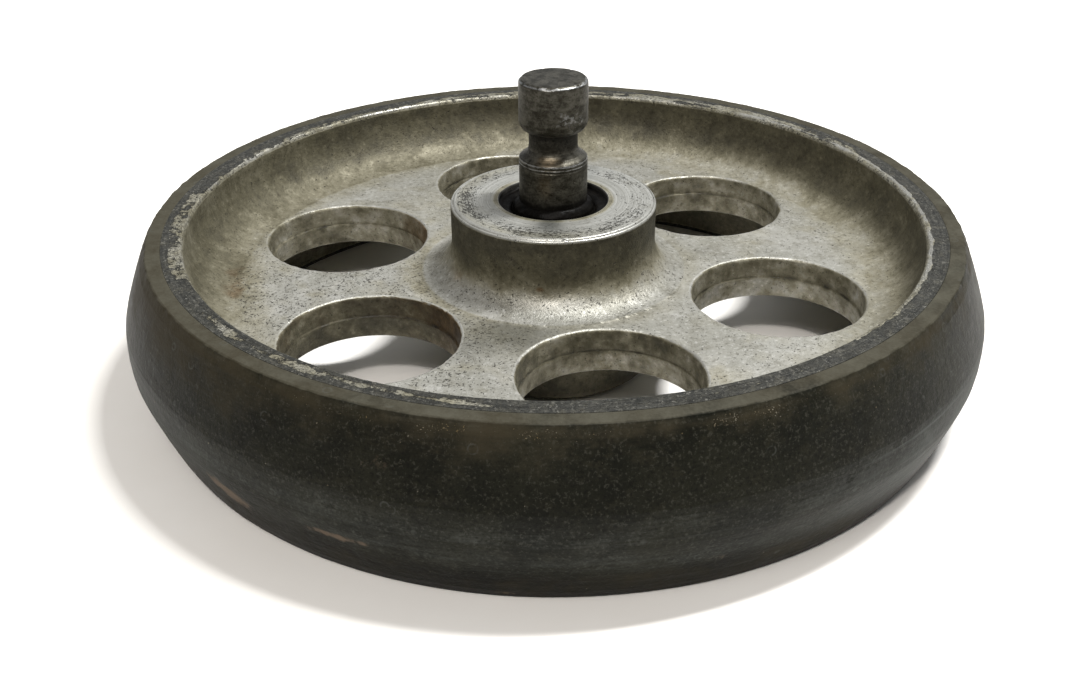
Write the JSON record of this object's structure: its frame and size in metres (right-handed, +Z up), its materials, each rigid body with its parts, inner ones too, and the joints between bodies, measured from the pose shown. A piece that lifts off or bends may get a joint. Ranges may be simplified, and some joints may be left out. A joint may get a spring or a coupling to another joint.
{
  "type": "rubber-tyred wheel",
  "caption": "Flat-lying cast aluminium wheel with a solid rubber tyre, round lightening holes and a grooved steel stub spindle turning in ball bearings.",
  "frame": {"origin": "on the wheel's axis, in the plane of its lower side face, which is the bottom of the bounding box", "axes": "+Z up along the spindle; the round web holes start 42.7 degrees from +X"},
  "size_m": [0.315, 0.315, 0.1118],
  "materials": {
    "cast_aluminium": "sand-cast light grey, finely pitted, with brown grease stains and bright worn edges",
    "tyre_rubber": "worn black-brown rubber, smooth tread with fine circumferential scuffs",
    "spindle_steel": "turned steel, darkened and greasy, worn blue-grey on the head",
    "bearing_steel": "ground and polished bearing steel",
    "cage_steel": "pressed steel",
    "plated_steel": "zinc-plated pressed steel, dull",
    "seal_rubber": "black moulded seal rubber, wet with grease",
    "spacer_steel": "plain turned steel",
    "spring_steel": "oil-blackened spring steel"
  },
  "bodies": {
    "wheel": {"wheel_casting": "cast_aluminium", "rubber_tyre": "tyre_rubber", "seal_case": "plated_steel", "seal_lip": "seal_rubber", "upper_outer_race": "bearing_steel", "upper_shield_top": "plated_steel", "upper_shield_bottom": "plated_steel", "lower_outer_race": "bearing_steel", "lower_shield_top": "plated_steel", "lower_shield_bottom": "plated_steel", "outer_spacer": "spacer_steel", "bore_circlip": "spring_steel", "dust_cap": "plated_steel"},
    "spindle": {"spindle": "spindle_steel", "upper_inner_race": "bearing_steel", "lower_inner_race": "bearing_steel", "inner_spacer": "spacer_steel", "spindle_circlip": "spring_steel"},
    "upper_ball_set": {"upper_cage": "cage_steel", "upper_ball_1": "bearing_steel", "upper_ball_2": "bearing_steel", "upper_ball_3": "bearing_steel", "upper_ball_4": "bearing_steel", "upper_ball_5": "bearing_steel", "upper_ball_6": "bearing_steel", "upper_ball_7": "bearing_steel", "upper_ball_8": "bearing_steel", "upper_ball_9": "bearing_steel"},
    "lower_ball_set": {"lower_cage": "cage_steel", "lower_ball_1": "bearing_steel", "lower_ball_2": "bearing_steel", "lower_ball_3": "bearing_steel", "lower_ball_4": "bearing_steel", "lower_ball_5": "bearing_steel", "lower_ball_6": "bearing_steel", "lower_ball_7": "bearing_steel", "lower_ball_8": "bearing_steel", "lower_ball_9": "bearing_steel"}
  },
  "joints": [
    {"name": "spindle_spin", "type": "hinge", "parent": "wheel", "child": "spindle", "pos_m": [0, 0, 0.0318], "axis": [0, 0, 1], "continuous": true},
    {"name": "upper_ball_set_spin", "type": "hinge", "parent": "wheel", "child": "upper_ball_set", "pos_m": [0, 0, 0.0482], "axis": [0, 0, 1], "continuous": true},
    {"name": "lower_ball_set_spin", "type": "hinge", "parent": "wheel", "child": "lower_ball_set", "pos_m": [0, 0, 0.0154], "axis": [0, 0, 1], "continuous": true}
  ],
  "couplings": [
    {"joint": "upper_ball_set_spin", "follows": "spindle_spin", "ratio": 0.3969},
    {"joint": "lower_ball_set_spin", "follows": "spindle_spin", "ratio": 0.3969}
  ]
}
